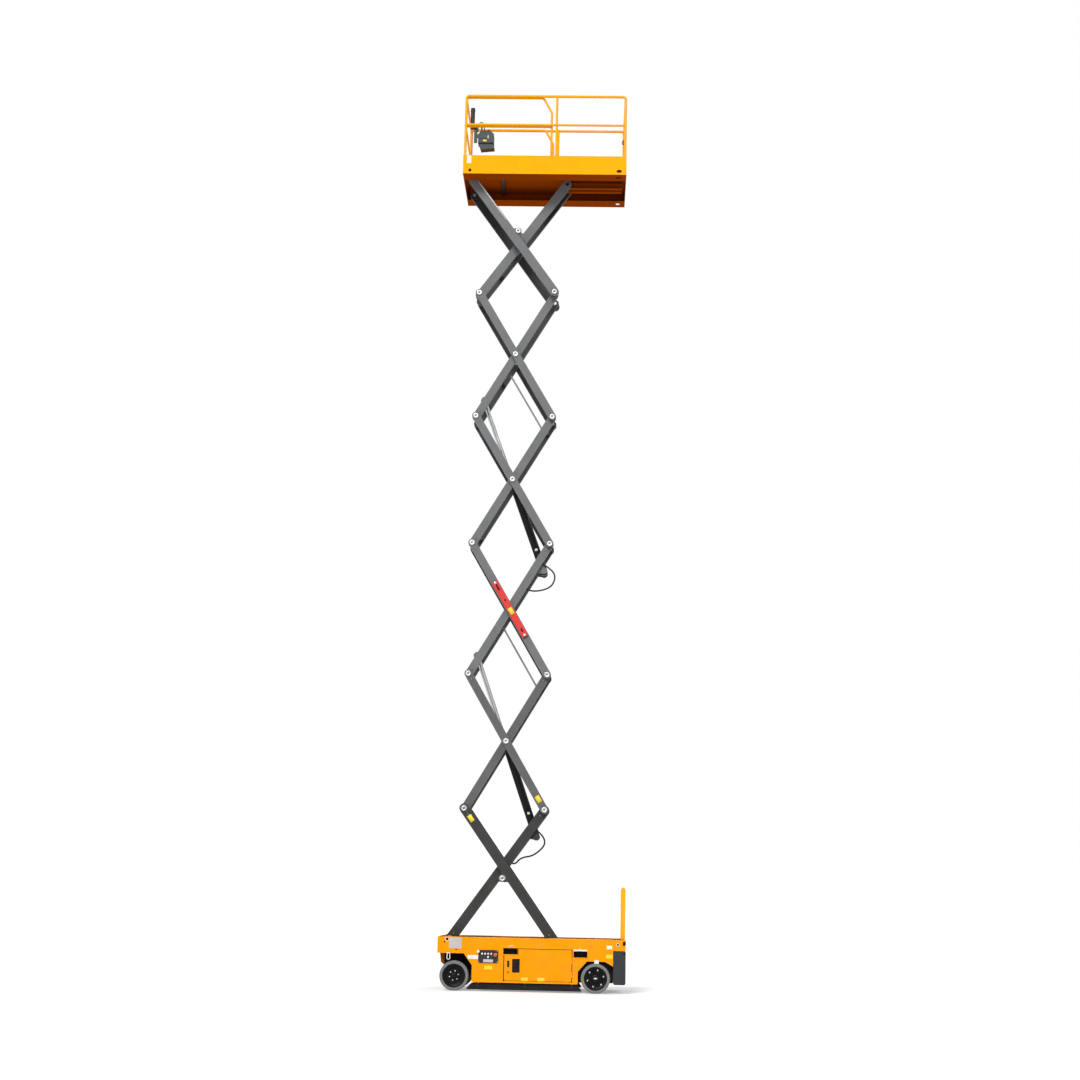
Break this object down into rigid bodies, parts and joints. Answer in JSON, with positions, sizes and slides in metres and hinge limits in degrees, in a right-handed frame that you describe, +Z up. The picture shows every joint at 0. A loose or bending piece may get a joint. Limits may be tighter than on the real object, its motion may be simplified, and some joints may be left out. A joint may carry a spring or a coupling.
{
  "type": "scissor lift",
  "caption": "Self-propelled electric scissor lift with a six-stage arm stack raised, railed platform with slide-out deck, steered front wheels, service doors and pothole guards.",
  "frame": {"origin": "on the ground, at the middle of the chassis length and width", "axes": "+X to the rear, the ladder end; +Y to the far side; +Z up"},
  "size_m": [2.48, 1.23, 12.6758],
  "materials": {
    "body_paint": "gloss",
    "platform_paint": "gloss",
    "arm_paint": "satin",
    "zinc": "satin",
    "black_paint": "satin",
    "chrome": "polished",
    "guard_grey": "satin",
    "black_plastic": "matte",
    "red_paint": "gloss",
    "tyre": "matte",
    "hose_rubber": "matte",
    "rim_black": "satin"
  },
  "bodies": {
    "chassis": {"chassis": "body_paint", "front_ballast": "black_paint", "battery_packs": "black_plastic", "lower_controls": "black_plastic", "rear_step_box": "guard_grey", "entry_ladder": "body_paint", "front_axle": "black_paint", "rear_axle": "black_paint", "base_pins": "zinc"},
    "inner_1": {"arm_inner_1": "arm_paint", "hose_loop_1": "hose_rubber"},
    "outer_2": {"arm_outer_2": "arm_paint", "arm_pins_2": "zinc"},
    "inner_3": {"arm_inner_3": "arm_paint", "hose_loop_3": "hose_rubber"},
    "outer_4": {"arm_outer_4": "arm_paint", "arm_pins_4": "zinc"},
    "inner_5": {"arm_inner_5": "arm_paint"},
    "outer_6": {"arm_outer_6": "arm_paint", "arm_pins_6": "zinc"},
    "outer_1": {"arm_outer_1": "arm_paint", "arm_pins_1": "zinc"},
    "inner_2": {"arm_inner_2": "arm_paint"},
    "outer_3": {"arm_outer_3": "arm_paint", "arm_pins_3": "zinc", "safety_prop": "red_paint"},
    "inner_4": {"arm_inner_4": "arm_paint"},
    "outer_5": {"arm_outer_5": "arm_paint", "arm_pins_5": "zinc"},
    "inner_6": {"arm_inner_6": "arm_paint", "top_rollers": "zinc"},
    "platform": {"platform_deck": "platform_paint", "main_rails": "platform_paint"},
    "barrel_1": {"cylinder_barrel_1": "black_paint"},
    "rod_1": {"cylinder_rod_1": "chrome"},
    "barrel_2": {"cylinder_barrel_2": "black_paint"},
    "rod_2": {"cylinder_rod_2": "chrome"},
    "guide_3": {"hose_guide_3": "zinc"},
    "guide_5": {"hose_guide_5": "zinc"},
    "knuckle_near": {"knuckle_near": "black_paint"},
    "knuckle_far": {"knuckle_far": "black_paint"},
    "wheel_front_near": {"tyre_front_near": "tyre", "rim_front_near": "rim_black"},
    "wheel_front_far": {"tyre_front_far": "tyre", "rim_front_far": "rim_black"},
    "wheel_rear_near": {"tyre_rear_near": "tyre", "rim_rear_near": "rim_black"},
    "wheel_rear_far": {"tyre_rear_far": "tyre", "rim_rear_far": "rim_black"},
    "door_near": {"service_door_near": "body_paint"},
    "door_far": {"service_door_far": "body_paint"},
    "guard_near": {"pothole_guard_near": "guard_grey"},
    "guard_far": {"pothole_guard_far": "guard_grey"},
    "gate": {"entry_gate": "platform_paint"},
    "extension": {"extension_deck": "platform_paint", "extension_rails": "platform_paint", "control_box": "black_plastic", "document_holder": "black_plastic"}
  },
  "joints": [
    {"name": "lift", "type": "hinge", "parent": "chassis", "child": "inner_1", "pos_m": [-1.115, 0, 0.65], "axis": [0, 1, 0], "range_deg": [0, 54.5], "deforming": ["hose_loop_1"]},
    {"name": "pivot_outer_2", "type": "hinge", "parent": "inner_1", "child": "outer_2", "pos_m": [0.12461, 0, 2.38156], "axis": [0, 1, 0], "range_deg": [-109, 0]},
    {"name": "pivot_inner_3", "type": "hinge", "parent": "outer_2", "child": "inner_3", "pos_m": [-0.96051, 0, 4.22373], "axis": [0, 1, 0], "range_deg": [0, 109], "deforming": ["hose_loop_3"]},
    {"name": "pivot_outer_4", "type": "hinge", "parent": "inner_3", "child": "outer_4", "pos_m": [0.12461, 0, 6.06589], "axis": [0, 1, 0], "range_deg": [-109, 0]},
    {"name": "pivot_inner_5", "type": "hinge", "parent": "outer_4", "child": "inner_5", "pos_m": [-0.96051, 0, 7.90805], "axis": [0, 1, 0], "range_deg": [0, 109]},
    {"name": "pivot_outer_6", "type": "hinge", "parent": "inner_5", "child": "outer_6", "pos_m": [0.12461, 0, 9.75022], "axis": [0, 1, 0], "range_deg": [-109, 0]},
    {"name": "pivot_outer_1", "type": "hinge", "parent": "inner_1", "child": "outer_1", "pos_m": [-0.41795, 0, 1.46048], "axis": [0, 1, 0], "range_deg": [-109, 0]},
    {"name": "pivot_inner_2", "type": "hinge", "parent": "outer_2", "child": "inner_2", "pos_m": [-0.41795, 0, 3.30265], "axis": [0, 1, 0], "range_deg": [0, 109]},
    {"name": "pivot_outer_3", "type": "hinge", "parent": "inner_3", "child": "outer_3", "pos_m": [-0.41795, 0, 5.14481], "axis": [0, 1, 0], "range_deg": [-109, 0]},
    {"name": "pivot_inner_4", "type": "hinge", "parent": "outer_4", "child": "inner_4", "pos_m": [-0.41795, 0, 6.98697], "axis": [0, 1, 0], "range_deg": [0, 109]},
    {"name": "pivot_outer_5", "type": "hinge", "parent": "inner_5", "child": "outer_5", "pos_m": [-0.41795, 0, 8.82914], "axis": [0, 1, 0], "range_deg": [-109, 0]},
    {"name": "pivot_inner_6", "type": "hinge", "parent": "outer_6", "child": "inner_6", "pos_m": [-0.41795, 0, 10.6713], "axis": [0, 1, 0], "range_deg": [0, 109]},
    {"name": "platform_level", "type": "hinge", "parent": "outer_6", "child": "platform", "pos_m": [-1.115, 0, 11.48178], "axis": [0, 1, 0], "range_deg": [0, 54.5]},
    {"name": "cylinder_pivot_1", "type": "hinge", "parent": "inner_1", "child": "barrel_1", "pos_m": [0.01601, 0, 2.02887], "axis": [0, 1, 0], "range_deg": [-110.87, 0]},
    {"name": "cylinder_stroke_1", "type": "slide", "parent": "barrel_1", "child": "rod_1", "axis": [-0.333, 0, 0.9429], "range_m": [-1.0775, 0]},
    {"name": "cylinder_pivot_2", "type": "hinge", "parent": "inner_3", "child": "barrel_2", "pos_m": [0.04778, 0, 5.70494], "axis": [0, 1, 0], "range_deg": [-109.29, 0]},
    {"name": "cylinder_stroke_2", "type": "slide", "parent": "barrel_2", "child": "rod_2", "axis": [-0.3427, 0, 0.9394], "range_m": [-1.0769, 0]},
    {"name": "guide_pivot_3", "type": "hinge", "parent": "inner_2", "child": "guide_3", "pos_m": [0.00788, 0, 4.02555], "axis": [0, 1, 0], "range_deg": [-109, 0]},
    {"name": "guide_pivot_5", "type": "hinge", "parent": "inner_4", "child": "guide_5", "pos_m": [0.00788, 0, 7.70988], "axis": [0, 1, 0], "range_deg": [-109, 0]},
    {"name": "steer_near", "type": "hinge", "parent": "chassis", "child": "knuckle_near", "pos_m": [-1.013, -0.438, 0.1905], "axis": [0, 0, 1], "range_deg": [-50, 50]},
    {"name": "steer_far", "type": "hinge", "parent": "chassis", "child": "knuckle_far", "pos_m": [-1.013, 0.438, 0.1905], "axis": [0, 0, 1], "range_deg": [-50, 50]},
    {"name": "wheel_front_near", "type": "hinge", "parent": "knuckle_near", "child": "wheel_front_near", "pos_m": [-1.013, -0.5365, 0.1905], "axis": [0, 1, 0], "continuous": true},
    {"name": "wheel_front_far", "type": "hinge", "parent": "knuckle_far", "child": "wheel_front_far", "pos_m": [-1.013, 0.5365, 0.1905], "axis": [0, 1, 0], "continuous": true},
    {"name": "wheel_rear_near", "type": "hinge", "parent": "chassis", "child": "wheel_rear_near", "pos_m": [0.847, -0.5365, 0.1905], "axis": [0, 1, 0], "continuous": true},
    {"name": "wheel_rear_far", "type": "hinge", "parent": "chassis", "child": "wheel_rear_far", "pos_m": [0.847, 0.5365, 0.1905], "axis": [0, 1, 0], "continuous": true},
    {"name": "door_near", "type": "hinge", "parent": "chassis", "child": "door_near", "pos_m": [0.537, -0.608, 0.345], "axis": [0, 0, 1], "range_deg": [0, 100]},
    {"name": "door_far", "type": "hinge", "parent": "chassis", "child": "door_far", "pos_m": [0.537, 0.608, 0.345], "axis": [0, 0, -1], "range_deg": [0, 100]},
    {"name": "guard_near", "type": "hinge", "parent": "chassis", "child": "guard_near", "pos_m": [0, -0.561, 0.099], "axis": [1, 0, 0], "range_deg": [0, 88]},
    {"name": "guard_far", "type": "hinge", "parent": "chassis", "child": "guard_far", "pos_m": [0, 0.561, 0.099], "axis": [-1, 0, 0], "range_deg": [0, 88]},
    {"name": "gate", "type": "hinge", "parent": "platform", "child": "gate", "pos_m": [1.111, -0.225, 11.9], "axis": [0, 0, 1], "range_deg": [0, 95]},
    {"name": "extension_slide", "type": "slide", "parent": "platform", "child": "extension", "axis": [-1, 0, 0], "range_m": [0, 0.92]}
  ],
  "couplings": [
    {"joint": "pivot_outer_2", "follows": "lift", "ratio": -2},
    {"joint": "pivot_inner_3", "follows": "lift", "ratio": 2},
    {"joint": "pivot_outer_4", "follows": "lift", "ratio": -2},
    {"joint": "pivot_inner_5", "follows": "lift", "ratio": 2},
    {"joint": "pivot_outer_6", "follows": "lift", "ratio": -2},
    {"joint": "pivot_outer_1", "follows": "lift", "ratio": -2},
    {"joint": "pivot_inner_2", "follows": "lift", "ratio": 2},
    {"joint": "pivot_outer_3", "follows": "lift", "ratio": -2},
    {"joint": "pivot_inner_4", "follows": "lift", "ratio": 2},
    {"joint": "pivot_outer_5", "follows": "lift", "ratio": -2},
    {"joint": "pivot_inner_6", "follows": "lift", "ratio": 2},
    {"joint": "platform_level", "follows": "lift", "ratio": 1},
    {"joint": "cylinder_pivot_1", "follows": "lift", "ratio": -2.0342},
    {"joint": "cylinder_stroke_1", "follows": "lift", "m_per_rad": -1.1328},
    {"joint": "cylinder_pivot_2", "follows": "lift", "ratio": -2.0053},
    {"joint": "cylinder_stroke_2", "follows": "lift", "m_per_rad": -1.1322},
    {"joint": "guide_pivot_3", "follows": "lift", "ratio": -2},
    {"joint": "guide_pivot_5", "follows": "lift", "ratio": -2},
    {"joint": "steer_far", "follows": "steer_near", "ratio": 1}
  ]
}
